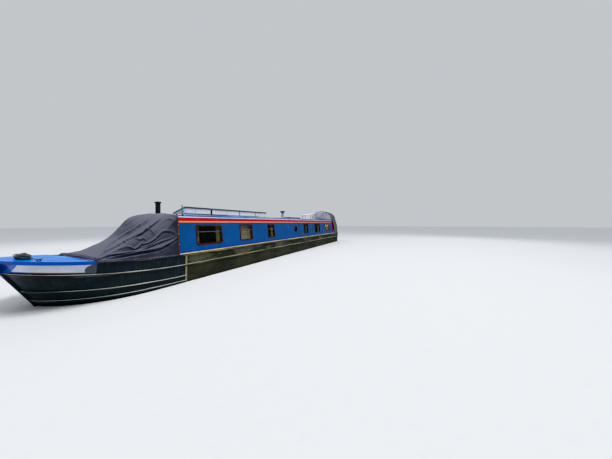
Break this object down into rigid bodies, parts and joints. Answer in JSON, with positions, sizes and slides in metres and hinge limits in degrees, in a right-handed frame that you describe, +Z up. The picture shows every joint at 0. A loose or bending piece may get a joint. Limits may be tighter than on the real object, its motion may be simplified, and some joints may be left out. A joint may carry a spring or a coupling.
{
  "type": "narrowboat",
  "caption": "Steel canal boat with a long low cabin, a cloth cover over the well deck and a steerer's hood.",
  "frame": {"origin": "middle of the length and the beam, at the underside of the base plate", "axes": "+X towards the bow, +Y to port, +Z up"},
  "size_m": [17.6882, 2.083, 2.86],
  "materials": {
    "hull_black": "satin",
    "cabin_blue": "gloss",
    "roof_navy": "satin",
    "stripe_red": "gloss",
    "stripe_orange": "gloss",
    "panel_grey": "gloss",
    "door_wood": "varnished",
    "floor_wood": "matte",
    "window_frame": "satin",
    "window_glass": "gloss",
    "curtain": "matte",
    "panel_white": "satin",
    "panel_cells": "gloss",
    "rack_white": "satin",
    "flue_black": "matte",
    "flue_grey": "satin",
    "cover_cloth": "woven",
    "hood_cloth": "woven",
    "steel_tube": "satin",
    "engine_paint": "satin",
    "propeller_bronze": "satin",
    "tiller_brass": "polished",
    "rope": "laid rope"
  },
  "bodies": {
    "hull": {"base_plate": "hull_black", "fore_end": "hull_black", "hull_side_port": "hull_black", "hull_side_starboard": "hull_black", "swim": "hull_black", "counter": "hull_black", "cabin_side_port": "cabin_blue", "cabin_side_starboard": "cabin_blue", "roof": "roof_navy", "front_bulkhead": "cabin_blue", "rear_bulkhead": "cabin_blue", "window_1_port": "window_frame", "window_1_starboard": "window_frame", "window_2_port": "window_frame", "window_2_starboard": "window_frame", "window_3_port": "window_frame", "window_3_starboard": "window_frame", "window_4_port": "window_frame", "window_4_starboard": "window_frame", "window_5_port": "window_frame", "window_5_starboard": "window_frame", "porthole_port": "window_frame", "porthole_starboard": "window_frame", "cabin_floor": "floor_wood", "well_deck": "floor_wood", "solar_panel_1": "panel_white", "solar_panel_2": "panel_white", "solar_panel_3": "panel_white", "solar_panel_4": "panel_white", "front_flue": "flue_black", "rear_flue": "flue_black", "roof_box": "roof_navy", "roof_rack": "rack_white", "gang_plank": "rack_white", "cratch_frame": "floor_wood", "cratch_cover": "cover_cloth", "stern_hood": "hood_cloth", "hood_frame": "steel_tube", "engine": "engine_paint", "rope_coil": "rope", "bow_fender": "rope", "stern_fender": "rope"},
    "rudder_gear": {"rudder": "hull_black", "tiller": "tiller_brass"},
    "screw": {"propeller": "propeller_bronze"},
    "front_leaf_port": {"front_door_port": "door_wood"},
    "front_leaf_starboard": {"front_door_starboard": "door_wood"},
    "rear_leaf_port": {"rear_door_port": "door_wood"},
    "rear_leaf_starboard": {"rear_door_starboard": "door_wood"},
    "hatch": {"slide_hatch": "roof_navy"}
  },
  "joints": [
    {"name": "rudder_turn", "type": "hinge", "parent": "hull", "child": "rudder_gear", "pos_m": [-7.965, 0, 0.6], "axis": [0, 0, 1], "range_deg": [-35, 35]},
    {"name": "propeller_spin", "type": "hinge", "parent": "hull", "child": "screw", "pos_m": [-7.53, 0, 0.247], "axis": [1, 0, 0], "continuous": true},
    {"name": "front_door_port_swing", "type": "hinge", "parent": "hull", "child": "front_leaf_port", "pos_m": [6.0765, 0.33, 1.45], "axis": [0, 0, 1], "range_deg": [0, 95]},
    {"name": "front_door_starboard_swing", "type": "hinge", "parent": "hull", "child": "front_leaf_starboard", "pos_m": [6.0765, -0.33, 1.45], "axis": [0, 0, -1], "range_deg": [0, 95]},
    {"name": "rear_door_port_swing", "type": "hinge", "parent": "hull", "child": "rear_leaf_port", "pos_m": [-6.7915, 0.3, 1.73], "axis": [0, 0, -1], "range_deg": [0, 100]},
    {"name": "rear_door_starboard_swing", "type": "hinge", "parent": "hull", "child": "rear_leaf_starboard", "pos_m": [-6.7915, -0.3, 1.73], "axis": [0, 0, 1], "range_deg": [0, 100]},
    {"name": "hatch_slide", "type": "slide", "parent": "hull", "child": "hatch", "axis": [1, 0, 0], "range_m": [0, 0.6]}
  ]
}
